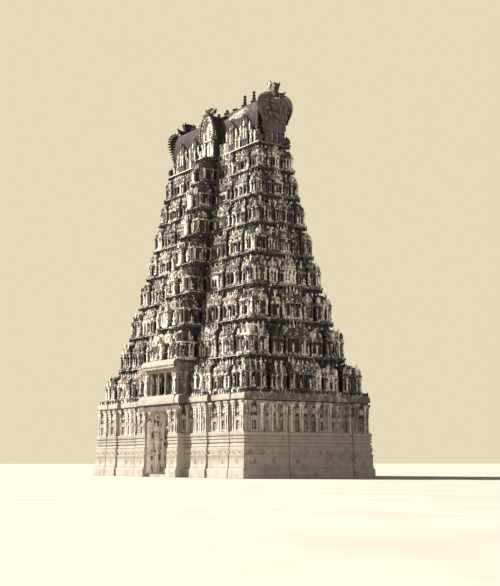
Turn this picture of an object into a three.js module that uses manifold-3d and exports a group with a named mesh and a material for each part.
// Gopuram: a gateway tower of nine storeys, a stone base with a passage through it,
// eight plastered brick tiers and a barrel roof, modelled at half of its real size.
// Millimetres, +Z up. X runs along the long faces, the front doorway faces -Y,
// and the origin is the middle of the footprint on the ground.
import * as THREE from 'three';
import { mergeVertices } from 'three/addons/utils/BufferGeometryUtils.js';
import Module from 'manifold-3d';

const wasm = await Module();
wasm.setup();

// Scale: sizes below are real metres, and size() turns them into model millimetres.
const MODEL_SCALE = 0.5;
const MM_PER_METRE = 1000;
const size = (metres) => Math.round(metres * MM_PER_METRE * MODEL_SCALE);
const SEAT_GAP = 0.3;          // model mm kept where one piece is cut to fit another
const BEYOND = 2;              // metres by which a cutting shape passes the outline

// Outline of the tower at the edge of each ledge
const BASE_HALF_WIDTH = 8.36;  // middle to the long face
const LENGTH_EXCESS = 8.13;    // how much further the short faces are from the middle
const FIRST_STEP = 1.69;       // inset of ledge 1 from the base
const SECOND_STEP = 0.96;      // inset of ledge 2, and each further step shrinks
const STEP_RATIO = 0.851;
const BASE_CORNICE_HEIGHT = 8.23;
const FIRST_STOREY = 4.69;
const SECOND_STOREY = 4.15;
const STOREY_RATIO = 0.9526;
const TIERS = 8;

// Central bay that projects from both long faces
const BASE_BAY_HALF = 4.6;
const BASE_BAY_FORWARD = 0.85;
const BAY_HALF = 3.7;          // at ledge 1
const BAY_RATIO = 0.857;
const BAY_FORWARD = 2.2;       // at ledge 1
const BAY_FORWARD_RATIO = 0.947;
const LEDGE_BAY_ONE = 1.85;    // ledge 1 is shorter at the bay, because the porch eave continues it

// Ledges, walls and openings of the tiers
const LEDGE_THICKNESS = 0.36;
const LEDGE_LIP = 0.08;
const LEDGE_CURVE = 0.3;
const OVERHANG = 0.4;
const WALL_THICKNESS = 1.5;    // tier 1
const WALL_RATIO = 0.88;
const DOOR_HALF = 0.8;         // tier 1 doorway, half its width
const DOOR_RATIO = 0.94;
const DOOR_HEIGHT_SHARE = 0.56;
const DOOR_SILL = 0.2;

// Stone base
const DOORWAY_HALF = 2.6;
const DOORWAY_TOP = 7.5;
const PASSAGE_FLOOR = 0.3;
const RELIEF = 0.35;           // how far the bays of the base stand forward
const BASE_BAND = 1.05;        // height of the rolled cornice above the base walls
const CORNICE_OUT = 0.12;      // its lower edge in front of the walls
const CORNICE_ROLL = 0.55;     // how far it curves back to its top
const SIDEWAYS_MOST = 0.2;     // most that a moulding grows into the recesses between the bays
const BASE_LAYERS = [          // top of the layer, and how far it stands out from the wall
  [1.0, 0.5],
  [2.5, 0.36],
  [3.73, 0.2],
  [4.24, 0.06],
  [4.86, 0.24],
];
const WING_BAYS = [[6.6, 9.3], [11.6, 13.7]];
const CORNER_PIER = 2.2;
const END_BAY_HALF = 2.6;

// Porch over the doorway
const PORCH_HALF = 3.6;
const PORCH_FRONT = 8.95;
const PORCH_BEAM = 0.45;
const PORCH_COLUMNS = [0.8, 2.45];
const COLUMN_HALF = 0.13;
const PIER_HALF = 0.3;
const EAVE_HALF = 3.75;
const EAVE_REACH = 9.45;
const EAVE_TOP = 13.4;
const EAVE_DROP = 0.2;
const EAVE_EDGE = 0.1;
const EAVE_STEPS = 4;
const PORCH_PLATFORM = 0.5;    // height above the base walls where the flat front of the platform starts

// Miniature shrines: heights as shares of their tier
const TALL_SHRINE = { body: 0.5, cap: 0.58, top: 0.93 };
const LOW_SHRINE = { body: 0.44, cap: 0.52, top: 0.82 };
const CAP_OUT = 0.1;
const DOME_PROFILE = [[0.94, 0.3], [0.68, 0.76]];
const HOOD_SPREAD = 1.15;      // widest part of an arched gable beside its body
const HOOD_WIDEST_UP = 0.45;
const SHRINE_BURY = 0.2;       // how far a shrine runs back before the wall cuts it
const EDGE_SHELF = 0.14;       // strip of ledge left in front of the shrines
const BASE_SHELF = 0.44;       // the same on the base
const LOW_WALL_TOP = 0.36;     // low wall behind the shrines: share of the tier's height
const LOW_WALL_DEPTH = 0.45;   // and of the shrines' depth
const CORNER_OF_WING = 0.24;   // corner shrine as a share of the wing, of the short face and of the height
const CORNER_OF_END = 0.2;
const CORNER_OF_HEIGHT = 0.42;
const CORNER_LONGEST = 1.35;
const WING_LONG = [0.02, 0.5]; // shrines between bay and corner shrine, as shares of that stretch
const WING_SHORT = [0.57, 0.94];
const END_LONG = 0.42;         // shrines of a short face, as shares of the stretch between the corners
const END_NARROW = 0.2;
const END_NARROW_AT = 0.345;
const BESIDE_BAY = 0.15;
const BESIDE_DOOR = 0.15;
const BAY_SHRINE_DEPTH = 0.2;  // least depth in front of the bay's wall that still takes a shrine

// Roof
const ROOF_HALF_LENGTH = 9.75;
const NECK_HALF = 1.5;
const NECK_HEIGHT = 1.25;
const NECK_WALL = 0.4;
const ROOF_SHELL = 0.35;
const ROOF_EAVE_HALF = 1.75;
const ROOF_WIDEST_HALF = 2.1;
const ROOF_WIDEST_UP = 1.9;
const ROOF_STRAIGHT = 0.6;     // height of the straight part under the widest line
const ROOF_STEPS = 5;
const ROOF_FULLNESS = 0.9;     // below 1 makes the curve fuller than a round one
const RIDGE_HALF = 0.22;
const RIDGE_HEIGHT = 44.25;
const RIDGE_STRIP = 0.14;
const NECK_INSET = 0.2;
const GABLE_THICKNESS = 0.55;
const GABLE_GROW = 0.28;
const GABLE_FOOT_UP = 0.3;
const CREST_TOP = 46.05;
const CREST_OUTLINE = [[0.85, 43.95], [0.8, 44.85], [0.35, CREST_TOP]];
const DORMER_HALF = 1.4;
const DORMER_FRONT = 2.75;
const DORMER_BODY_INSET = [0.1, 0.15];
const DORMER_SPRINGING = 40.7;
const DORMER_WIDEST = 41.7;
const DORMER_TOP = 44.1;
const DORMER_FOOT_SHARE = 0.8;
const DORMER_BULGE = 1.15;
const DORMER_POINT = 0.15;
const DORMER_STEPS = 4;
const DORMER_CREST = [0.4, 0.4, 43.7, 44.65]; // half width, depth, bottom and top
const FINIAL_SPACING = 1.95;
const FINIAL_RADIUS = 0.34;
const FINIAL_HEIGHT = 1.65;
const BROKEN_HEIGHT = 0.55;
const BROKEN_SHARE = BROKEN_HEIGHT / FINIAL_HEIGHT;
const WHOLE_FINIAL = [
  [0, 0], [0.45, 0], [1, 0.28], [0.9, 0.42], [0.3, 0.55], [0.5, 0.62], [0.2, 0.74], [0, 1],
];
const BROKEN_FINIAL = [[0, 0], [0.45, 0], [1, 0.25], [0.9, BROKEN_SHARE], [0, BROKEN_SHARE]];
const FINIAL_SIDES = 6;
const FINIAL_STATES = [
  'gone', 'whole', 'whole', 'broken', 'broken', 'broken', 'broken', 'broken', 'broken',
];

const STONE = { color: 0xa8977a, roughness: 0.9, metalness: 0 };
const PLASTER = { color: 0x9c8c72, roughness: 0.92, metalness: 0 };
const DARK_PLASTER = { color: 0x6d6252, roughness: 0.95, metalness: 0 };
const ROOF_PLASTER = { color: 0x5d5549, roughness: 0.95, metalness: 0 };

const model = new THREE.Group();

// Solids
function solid(geometry) {
  const bare = geometry.index ? geometry.toNonIndexed() : geometry.clone();
  bare.deleteAttribute('normal');
  bare.deleteAttribute('uv');
  const merged = mergeVertices(bare, 1e-4);
  return new wasm.Manifold(new wasm.Mesh({
    numProp: 3,
    vertProperties: new Float32Array(merged.attributes.position.array),
    triVerts: new Uint32Array(merged.index.array),
  }));
}

function join(parts) {
  return parts.reduce((whole, part) => whole.add(part));
}

function addPiece(name, body, finish) {
  const mesh = body.getMesh();
  const geometry = new THREE.BufferGeometry();
  geometry.setAttribute('position', new THREE.BufferAttribute(mesh.vertProperties, 3));
  geometry.setIndex(new THREE.BufferAttribute(mesh.triVerts, 1));
  geometry.computeVertexNormals();
  const piece = new THREE.Mesh(geometry, new THREE.MeshStandardMaterial(finish));
  piece.name = name;
  model.add(piece);
}

function box(x0, x1, y0, y1, z0, z1, matrix) {
  const geometry = new THREE.BoxGeometry(x1 - x0, y1 - y0, z1 - z0);
  geometry.translate((x0 + x1) / 2, (y0 + y1) / 2, (z0 + z1) / 2);
  if (matrix) geometry.applyMatrix4(matrix);
  return solid(geometry);
}

function outlineShape(points) {
  return new THREE.Shape(points.map(([x, y]) => new THREE.Vector2(x, y)));
}

function prism(points, z0, z1) {
  const geometry = new THREE.ExtrudeGeometry(outlineShape(points), { depth: z1 - z0, bevelEnabled: false });
  geometry.translate(0, 0, z0);
  return solid(geometry);
}

// A profile in the YZ plane, given as [y, z], drawn out along X
function profileAlongX(points, x0, x1, matrix) {
  const geometry = new THREE.ExtrudeGeometry(outlineShape(points), { depth: x1 - x0, bevelEnabled: false });
  geometry.rotateX(Math.PI / 2);
  geometry.rotateZ(Math.PI / 2);
  geometry.translate(x0, 0, 0);
  if (matrix) geometry.applyMatrix4(matrix);
  return solid(geometry);
}

// A profile in the XZ plane, given as [x, z], drawn out along Y
function profileAlongY(points, y0, y1, matrix) {
  const geometry = new THREE.ExtrudeGeometry(outlineShape(points), { depth: y1 - y0, bevelEnabled: false });
  geometry.rotateX(Math.PI / 2);
  geometry.translate(0, y1, 0);
  if (matrix) geometry.applyMatrix4(matrix);
  return solid(geometry);
}

// Overhanging ledge with a flat underside and a rounded upper edge
function roundedLedge(points, z0, thickness, curve, segments) {
  const lip = size(LEDGE_LIP);
  const rise = thickness - lip;
  const geometry = new THREE.ExtrudeGeometry(outlineShape(points), {
    depth: lip,
    bevelEnabled: true,
    bevelThickness: rise,
    bevelSize: curve,
    bevelOffset: -curve,
    bevelSegments: segments,
  });
  geometry.translate(0, 0, z0);
  const reach = size(BASE_HALF_WIDTH + LENGTH_EXCESS + BEYOND);
  const below = box(-reach, reach, -reach, reach, z0 - 2 * rise, z0);
  return solid(geometry).subtract(below);
}

// Levels: the edge of each ledge, as half sizes and the height of its underside
function makeLevels() {
  const levels = [{
    halfWidth: BASE_HALF_WIDTH,
    z: BASE_CORNICE_HEIGHT,
    bayHalf: BASE_BAY_HALF,
    bayForward: BASE_BAY_FORWARD,
  }];
  let step = SECOND_STEP;
  let storey = SECOND_STOREY;
  for (let k = 1; k <= TIERS; k += 1) {
    const below = levels[k - 1];
    levels.push({
      halfWidth: below.halfWidth - (k === 1 ? FIRST_STEP : step),
      z: below.z + (k === 1 ? FIRST_STOREY : storey),
      bayHalf: BAY_HALF * BAY_RATIO ** (k - 1),
      bayForward: BAY_FORWARD * BAY_FORWARD_RATIO ** (k - 1),
    });
    if (k > 1) {
      step *= STEP_RATIO;
      storey *= STOREY_RATIO;
    }
  }
  return levels.map((level, k) => ({
    b: size(level.halfWidth),
    a: size(level.halfWidth + LENGTH_EXCESS),
    z: size(level.z),
    top: size(level.z + (k === 0 ? BASE_BAND : LEDGE_THICKNESS)),
    w: size(level.bayHalf),
    p: size(level.bayForward),
  }));
}
const LEVELS = makeLevels();

// Cross-shaped plan of a tier: a rectangle with a bay on each long face
function crossPlan(a, b, w, p) {
  return [
    [-a, -b], [-w, -b], [-w, -b - p], [w, -b - p], [w, -b], [a, -b],
    [a, b], [w, b], [w, b + p], [-w, b + p], [-w, b], [-a, b],
  ];
}

// Turns a piece made in front of the -Y face to one of the four faces
function facing(quarterTurns, along, out) {
  const turn = new THREE.Matrix4().makeRotationZ(quarterTurns * Math.PI / 2);
  return turn.multiply(new THREE.Matrix4().makeTranslation(along, -out, 0));
}

// Stone base, in two halves beside the passage. A moulding grows outwards by the whole
// of grow, and sideways by no more than the recesses between the bays allow.
function baseHalfPlan(side, grow) {
  const g = size(grow);
  const s = size(Math.min(grow, SIDEWAYS_MOST));
  const f = size(RELIEF);
  const b = size(BASE_HALF_WIDTH) - f;
  const a = size(BASE_HALF_WIDTH + LENGTH_EXCESS) - f;
  const pier = size(CORNER_PIER);
  const bay = size(BASE_BAY_HALF) + s;
  const end = size(END_BAY_HALF) + s;
  const bayFace = b + f + size(BASE_BAY_FORWARD) + g;
  const quarter = [[size(DOORWAY_HALF), bayFace], [bay, bayFace], [bay, b + g]];
  for (const [from, to] of WING_BAYS) {
    const x0 = size(from) - s;
    const x1 = size(to) + s;
    quarter.push([x0, b + g], [x0, b + f + g], [x1, b + f + g], [x1, b + g]);
  }
  quarter.push([a + f - pier - s, b + g], [a + f - pier - s, b + f + g], [a + f + g, b + f + g]);
  quarter.push([a + f + g, b + f - pier - s], [a + g, b + f - pier - s], [a + g, end], [a + f + g, end]);
  const lower = quarter.map(([x, y]) => [side * x, -y]);
  const upper = quarter.map(([x, y]) => [side * x, y]).reverse();
  const points = lower.concat(upper);
  return side > 0 ? points : points.reverse();
}

function fullBasePlan(grow) {
  const right = baseHalfPlan(1, grow);
  const left = baseHalfPlan(-1, grow);
  const bridge = right.slice(1, -1);
  return bridge.concat(left.slice(1, -1));
}

function addBase() {
  for (const [name, side] of [['right', 1], ['left', -1]]) {
    let bottom = 0;
    const layers = BASE_LAYERS.map(([top, grow]) => {
      const layer = prism(baseHalfPlan(side, grow), bottom, size(top));
      bottom = size(top);
      return layer;
    });
    addPiece(`base_mouldings_${name}`, join(layers), STONE);
    addPiece(`base_wall_${name}`, prism(baseHalfPlan(side, 0), bottom, LEVELS[0].z), STONE);
  }
  const half = size(DOORWAY_HALF);
  const face = size(BASE_HALF_WIDTH + BASE_BAY_FORWARD);
  addPiece('passage_floor', box(-half, half, -face, face, 0, size(PASSAGE_FLOOR)), STONE);
  addPiece('passage_ceiling', box(-half, half, -face, face, size(DOORWAY_TOP), LEVELS[0].z), STONE);
  const { z, top } = LEVELS[0];
  const cornice = roundedLedge(fullBasePlan(CORNICE_OUT), z, top - z, size(CORNICE_ROLL), 2);
  const porch = size(PORCH_HALF);
  const platform = box(-porch, porch, -face, face, z + size(PORCH_PLATFORM), top);
  addPiece('base_cornice', cornice.add(platform), STONE);
}

// Porch of slender columns above each doorway, with its curved eave
function addPorch(name, quarterTurns) {
  const tier = tierSizes(1);
  const top = LEVELS[1].z;
  const floor = LEVELS[0].top;
  const turn = facing(quarterTurns, 0, 0);
  const front = size(PORCH_FRONT);
  const back = tier.b + SEAT_GAP;
  const half = size(PORCH_HALF);
  const ledgeBay = size(LEDGE_BAY_ONE);
  const beam = top - size(PORCH_BEAM);
  const parts = [box(-half, half, -front, -back, beam, top, turn)];
  const post = size(COLUMN_HALF);
  const pier = size(PIER_HALF);
  for (const side of [-1, 1]) {
    for (const at of PORCH_COLUMNS) {
      const x = side * size(at);
      parts.push(box(x - post, x + post, -front + post, -front + 3 * post, floor, beam, turn));
    }
    const x = side * (half - pier);
    parts.push(box(x - pier, x + pier, -front, -front + 2 * pier, floor, beam, turn));
  }
  addPiece(`porch_${name}`, join(parts), STONE);
  const inner = LEVELS[1].b + ledgeBay + SEAT_GAP;
  const reach = size(EAVE_REACH);
  const eave = [[-inner, top], [-inner, size(EAVE_TOP)]];
  for (let i = 1; i <= EAVE_STEPS; i += 1) {
    const turned = (i / EAVE_STEPS) * Math.PI / 2;
    const y = -inner - (reach - inner) * Math.sin(turned);
    const z = top + (size(EAVE_TOP) - top) * Math.cos(turned);
    eave.push([y, i === EAVE_STEPS ? top - size(EAVE_DROP) / 2 : z]);
  }
  eave.push([-reach + size(EAVE_EDGE), top - size(EAVE_DROP)], [-front - SEAT_GAP, top]);
  const eaveHalf = size(EAVE_HALF);
  addPiece(`porch_eave_${name}`, profileAlongX(eave, -eaveHalf, eaveHalf, turn), STONE);
}

// Sizes of the wall of a tier, set back under the ledge above it
function tierSizes(t) {
  const above = LEVELS[t];
  const hang = size(OVERHANG);
  const bottom = LEVELS[t - 1].top;
  return {
    a: above.a - hang,
    b: above.b - hang,
    w: above.w - hang,
    p: t === 1 ? 0 : above.p,
    bottom,
    top: above.z,
    wall: size(WALL_THICKNESS * WALL_RATIO ** (t - 1)),
    door: size(DOOR_HALF * DOOR_RATIO ** (t - 1)),
    doorTop: bottom + Math.round((above.z - bottom) * DOOR_HEIGHT_SHARE),
  };
}

function tierPlan(tier, grow) {
  const { a, b, w, p } = tier;
  const x = a + grow;
  const y = b + grow;
  if (p === 0) return [[-x, -y], [x, -y], [x, y], [-x, y]];
  return crossPlan(x, y, w + grow, p);
}

function addTierWall(t) {
  const tier = tierSizes(t);
  const { a, b, p, wall, door, bottom, top, doorTop } = tier;
  const outer = prism(tierPlan(tier, 0), bottom, top);
  const room = box(-a + wall, a - wall, -b + wall, b - wall, bottom - 1, top + 1);
  const doorway = box(-door, door, -b - p - 1, b + p + 1, bottom - 1, doorTop);
  addPiece(`tier_${t}_wall`, outer.subtract(room).subtract(doorway), DARK_PLASTER);
}

function addTierLedge(t) {
  const { a, b, w, p, z, top } = LEVELS[t];
  const forward = t === 1 ? size(LEDGE_BAY_ONE) : p;
  const plan = crossPlan(a, b, w, forward);
  addPiece(`tier_${t}_ledge`, roundedLedge(plan, z, top - z, size(LEDGE_CURVE), 2), PLASTER);
}

// Miniature shrines. The sides of a shrine are its body, a cap that juts out, and a roof.
function shrineHeights(tier, shares) {
  const { bottom, top } = tier;
  const level = (share) => bottom + Math.round((top - bottom) * share);
  return { bottom, bodyTop: level(shares.body), capTop: level(shares.cap), domeTop: level(shares.top) };
}

function capped(half, heights) {
  const { bottom, bodyTop, capTop } = heights;
  const eave = size(CAP_OUT);
  return [[half, bottom], [half, bodyTop], [half + eave, bodyTop], [half + eave, capTop]];
}

// Square shrine with a four-sided curved dome, for the corners and beside the doorways
function squareShrine(heights, widthX, widthY, centre) {
  const { bottom, capTop, domeTop } = heights;
  const half = Math.min(widthX, widthY) / 2;
  const dome = DOME_PROFILE.map(([out, up]) => [half * out, capTop + (domeTop - capTop) * up]);
  const outline = [[0, bottom], ...capped(half, heights), ...dome, [0, domeTop]];
  const profile = outline.map(([out, z]) => new THREE.Vector2(out * Math.SQRT2, z));
  const shrine = new THREE.LatheGeometry(profile, 4, Math.PI / 4);
  shrine.rotateX(Math.PI / 2);
  shrine.scale(widthX / 2 / half, widthY / 2 / half, 1);
  shrine.translate(centre[0], centre[1], 0);
  return solid(shrine);
}

function quarterArch(depth, base, rise, steps) {
  const points = [];
  for (let i = 0; i <= steps; i += 1) {
    const turned = Math.PI / 2 * i / steps;
    points.push([-depth * Math.cos(turned), base + rise * Math.sin(turned)]);
  }
  return points;
}

// Long shrine with a barrel roof that leans on the wall at y = 0
function longShrine(heights, width, depth, matrix) {
  const { bottom, capTop, domeTop } = heights;
  const bury = size(SHRINE_BURY);
  const front = capped(depth, heights).map(([y, z]) => [-y, z]);
  const roof = quarterArch(depth, capTop, domeTop - capTop, 2);
  const outline = [[bury, bottom], ...front, ...roof, [bury, domeTop]];
  return profileAlongX(outline.reverse(), -width / 2, width / 2, matrix);
}

// Narrow shrine whose arched gable faces outwards
function narrowShrine(heights, width, depth, matrix) {
  const { bottom, bodyTop, domeTop } = heights;
  const half = width / 2;
  const widest = bodyTop + (domeTop - bodyTop) * HOOD_WIDEST_UP;
  const right = [[half, bottom], [half, bodyTop], [half * HOOD_SPREAD, widest]];
  const left = right.map(([x, z]) => [-x, z]).reverse();
  return profileAlongY([...right, [0, domeTop], ...left], -depth, size(SHRINE_BURY), matrix);
}

// Sizes of the rows of shrines of a tier: their front lines and the corner shrines
function rowSizes(t) {
  const tier = tierSizes(t);
  const below = LEVELS[t - 1];
  const shelf = size(t === 1 ? BASE_SHELF : EDGE_SHELF);
  const edgeB = below.b - shelf;
  const edgeA = below.a - shelf;
  const alongWing = Math.round(CORNER_OF_WING * (edgeA - below.w));
  const leastEnd = Math.max(CORNER_OF_END * 2 * edgeB, CORNER_OF_HEIGHT * (tier.top - tier.bottom));
  const cornerY = Math.min(alongWing, Math.round(leastEnd));
  const cornerX = Math.min(alongWing, Math.round(cornerY * CORNER_LONGEST));
  const wingFrom = below.w + size(BESIDE_BAY);
  return { shelf, edgeA, edgeB, cornerX, cornerY, wingFrom, wingTo: edgeA - cornerX };
}

function addTierShrines(t) {
  const tier = tierSizes(t);
  const row = rowSizes(t);
  const tall = shrineHeights(tier, TALL_SHRINE);
  const low = shrineHeights(tier, LOW_SHRINE);
  const depth = row.edgeB - tier.b;
  const lowWallTop = tier.bottom + Math.round((tier.top - tier.bottom) * LOW_WALL_TOP);
  const parts = [prism(tierPlan(tier, Math.round(depth * LOW_WALL_DEPTH)), tier.bottom, lowWallTop)];

  for (const sx of [-1, 1]) {
    for (const sy of [-1, 1]) {
      const centre = [sx * (row.edgeA - row.cornerX / 2), sy * (row.edgeB - row.cornerY / 2)];
      parts.push(squareShrine(tall, row.cornerX, row.cornerY, centre));
    }
  }

  // long faces
  const wing = row.wingTo - row.wingFrom;
  for (const quarterTurns of [0, 2]) {
    for (const side of [-1, 1]) {
      for (const [heights, [from, to]] of [[tall, WING_LONG], [low, WING_SHORT]]) {
        const along = side * (row.wingFrom + wing * (from + to) / 2);
        const width = Math.round(wing * (to - from));
        parts.push(longShrine(heights, width, depth, facing(quarterTurns, along, tier.b)));
      }
    }
  }

  // short faces
  const end = 2 * (row.edgeB - row.cornerY);
  const endDepth = row.edgeA - tier.a;
  for (const quarterTurns of [1, 3]) {
    parts.push(longShrine(tall, Math.round(end * END_LONG), endDepth, facing(quarterTurns, 0, tier.a)));
    for (const side of [-1, 1]) {
      const matrix = facing(quarterTurns, side * end * END_NARROW_AT, tier.a);
      parts.push(narrowShrine(low, Math.round(end * END_NARROW), endDepth, matrix));
    }
  }

  // projecting bay, with a small shrine on each side of the doorway
  const below = LEVELS[t - 1];
  const bayFront = (t === 2 ? below.b + size(LEDGE_BAY_ONE) : below.b + below.p) - row.shelf;
  if (tier.p > 0 && bayFront - tier.b - tier.p > size(BAY_SHRINE_DEPTH)) {
    const inner = tier.door + size(BESIDE_DOOR);
    const wide = below.w - row.shelf - inner;
    const deep = bayFront - tier.b;
    for (const sx of [-1, 1]) {
      for (const sy of [-1, 1]) {
        parts.push(squareShrine(tall, wide, deep, [sx * (inner + wide / 2), sy * (bayFront - deep / 2)]));
      }
    }
  }
  const wallSpace = prism(tierPlan(tier, SEAT_GAP), tier.bottom - 1, tier.top + 1);
  const sill = tier.bottom + size(DOOR_SILL);
  const reach = size(BASE_HALF_WIDTH + LENGTH_EXCESS + BEYOND);
  const doorway = box(-tier.door, tier.door, -reach, reach, sill, tier.top + 1);
  const body = join(parts).subtract(wallSpace);
  if (t > 1) {
    addPiece(`tier_${t}_shrines`, body.subtract(doorway), PLASTER);
    return;
  }
  // the porches part the shrines of tier 1 into two rows
  const clear = size(PORCH_HALF) + SEAT_GAP;
  const rightHalf = box(-clear, reach, -reach, reach, 0, tier.top + 1);
  const leftHalf = box(-reach, clear, -reach, reach, 0, tier.top + 1);
  addPiece('tier_1_shrines_left', body.subtract(rightHalf), PLASTER);
  addPiece('tier_1_shrines_right', body.subtract(leftHalf), PLASTER);
}

// Roof: a neck, a barrel along the ridge, a gable at each end and a dormer on each long side
function roofProfile(grow) {
  const bottom = roofBottom();
  const top = size(RIDGE_HEIGHT) + grow;
  const widest = size(ROOF_WIDEST_HALF) + grow;
  const widestZ = bottom + size(ROOF_WIDEST_UP);
  const ridge = size(RIDGE_HALF);
  const right = [[size(ROOF_EAVE_HALF) + grow, bottom], [widest, widestZ - size(ROOF_STRAIGHT)]];
  for (let i = 1; i <= ROOF_STEPS; i += 1) {
    const turned = (i / ROOF_STEPS) * Math.PI / 2;
    const y = ridge + (widest - ridge) * Math.cos(turned) ** ROOF_FULLNESS;
    right.push([i === ROOF_STEPS ? ridge : y, widestZ + (top - widestZ) * Math.sin(turned)]);
  }
  return right.concat(right.map(([y, z]) => [-y, z]).reverse());
}

function roofBottom() {
  return LEVELS[TIERS].top + size(NECK_HEIGHT);
}

function addRoof() {
  const floor = LEVELS[TIERS].top;
  const bottom = roofBottom();
  const length = size(ROOF_HALF_LENGTH);
  const neckHalf = size(NECK_HALF);
  const neckWall = size(NECK_WALL);
  const neckLength = length - size(NECK_INSET);
  const neck = box(-neckLength, neckLength, -neckHalf, neckHalf, floor, bottom);
  const roomLength = neckLength - neckWall;
  const roomHalf = neckHalf - neckWall;
  const neckRoom = box(-roomLength, roomLength, -roomHalf, roomHalf, floor - 1, bottom + 1);
  addPiece('roof_neck', neck.subtract(neckRoom), DARK_PLASTER);

  const shell = size(ROOF_SHELL);
  const outer = profileAlongX(roofProfile(0), -length, length);
  const inner = profileAlongX(roofProfile(-shell), -length - 1, length + 1);
  const slot = box(-length - 1, length + 1, -roomHalf, roomHalf, bottom - 1, bottom + 1);
  addPiece('barrel_roof', outer.subtract(inner).subtract(slot), ROOF_PLASTER);

  for (const [name, side] of [['right', 1], ['left', -1]]) {
    addPiece(`gable_${name}`, gable(side), ROOF_PLASTER);
  }
  for (const [name, quarterTurns] of [['front', 0], ['back', 2]]) {
    addPiece(`dormer_${name}`, dormer(quarterTurns), ROOF_PLASTER);
  }
  addFinials();
}

// End gable: a horseshoe plate around the end of the barrel, with a crest on top
function gable(side) {
  const bottom = LEVELS[TIERS].top;
  const length = size(ROOF_HALF_LENGTH) + SEAT_GAP;
  const thick = size(GABLE_THICKNESS);
  const plate = roofProfile(size(GABLE_GROW));
  const x0 = side > 0 ? length : -length - thick;
  const foot = size(NECK_HALF);
  const stand = box(x0, x0 + thick, -foot, foot, bottom, roofBottom() + size(GABLE_FOOT_UP));
  const crestRight = CREST_OUTLINE.map(([y, z]) => [size(y), size(z)]);
  const crestLeft = crestRight.map(([y, z]) => [-y, z]).reverse();
  const crest = profileAlongX(crestRight.concat(crestLeft), x0, x0 + thick);
  return profileAlongX(plate, x0, x0 + thick).add(stand).add(crest);
}

// Dormer: a shrine front with a horseshoe gable that runs back into the barrel
function dormer(quarterTurns) {
  const turn = facing(quarterTurns, 0, 0);
  const floor = LEVELS[TIERS].top;
  const half = size(DORMER_HALF);
  const front = size(DORMER_FRONT);
  const springing = size(DORMER_SPRINGING);
  const widest = size(DORMER_WIDEST);
  const top = size(DORMER_TOP);
  const [insetX, insetY] = DORMER_BODY_INSET.map(size);
  const body = box(-half + insetX, half - insetX, -front + insetY, 0, floor, springing, turn);
  const face = [[half * DORMER_FOOT_SHARE, springing - insetX], [half * DORMER_BULGE, widest]];
  for (let i = 1; i <= DORMER_STEPS; i += 1) {
    const turned = (i / DORMER_STEPS) * Math.PI / 2;
    const x = i === DORMER_STEPS ? size(DORMER_POINT) : half * DORMER_BULGE * Math.cos(turned);
    face.push([x, widest + (top - widest) * Math.sin(turned)]);
  }
  const outline = face.concat(face.map(([x, z]) => [-x, z]).reverse());
  const hood = profileAlongY(outline, -front, 0, turn);
  const [crestHalf, crestDepth, crestFrom, crestTo] = DORMER_CREST.map(size);
  const crest = box(-crestHalf, crestHalf, -front, -front + crestDepth, crestFrom, crestTo, turn);
  const reach = size(ROOF_HALF_LENGTH);
  const barrel = profileAlongX(roofProfile(SEAT_GAP), -reach, reach);
  const neckHalf = size(NECK_HALF) + SEAT_GAP;
  const neck = box(-reach, reach, -neckHalf, neckHalf, floor - 1, roofBottom() + 1);
  const beyond = box(-reach, reach, 0, reach, floor - 1, size(CREST_TOP), turn);
  return body.add(hood).add(crest).subtract(barrel).subtract(neck).subtract(beyond);
}

// Pot finials along the ridge, some of them broken off
function addFinials() {
  const strip = size(RIDGE_STRIP);
  const z = size(RIDGE_HEIGHT);
  const length = size(ROOF_HALF_LENGTH);
  const parts = [box(-length, length, -size(RIDGE_HALF), size(RIDGE_HALF), z, z + strip)];
  const middle = (FINIAL_STATES.length - 1) / 2;
  FINIAL_STATES.forEach((state, i) => {
    const x = size((middle - i) * FINIAL_SPACING);
    if (state === 'gone') return;
    parts.push(finial(x, z + strip / 2, state === 'whole'));
  });
  addPiece('ridge_finials', join(parts), ROOF_PLASTER);
}

function finial(x, z, whole) {
  const r = size(FINIAL_RADIUS);
  const h = size(FINIAL_HEIGHT);
  const outline = whole ? WHOLE_FINIAL : BROKEN_FINIAL;
  const profile = outline.map(([radius, height]) => new THREE.Vector2(radius * r, height * h));
  const geometry = new THREE.LatheGeometry(profile, FINIAL_SIDES);
  geometry.rotateX(Math.PI / 2);
  geometry.translate(x, 0, z);
  return solid(geometry);
}

addBase();
addPorch('front', 0);
addPorch('back', 2);
for (let t = 1; t <= TIERS; t += 1) {
  addTierWall(t);
  addTierShrines(t);
  addTierLedge(t);
}
addRoof();

export default model;
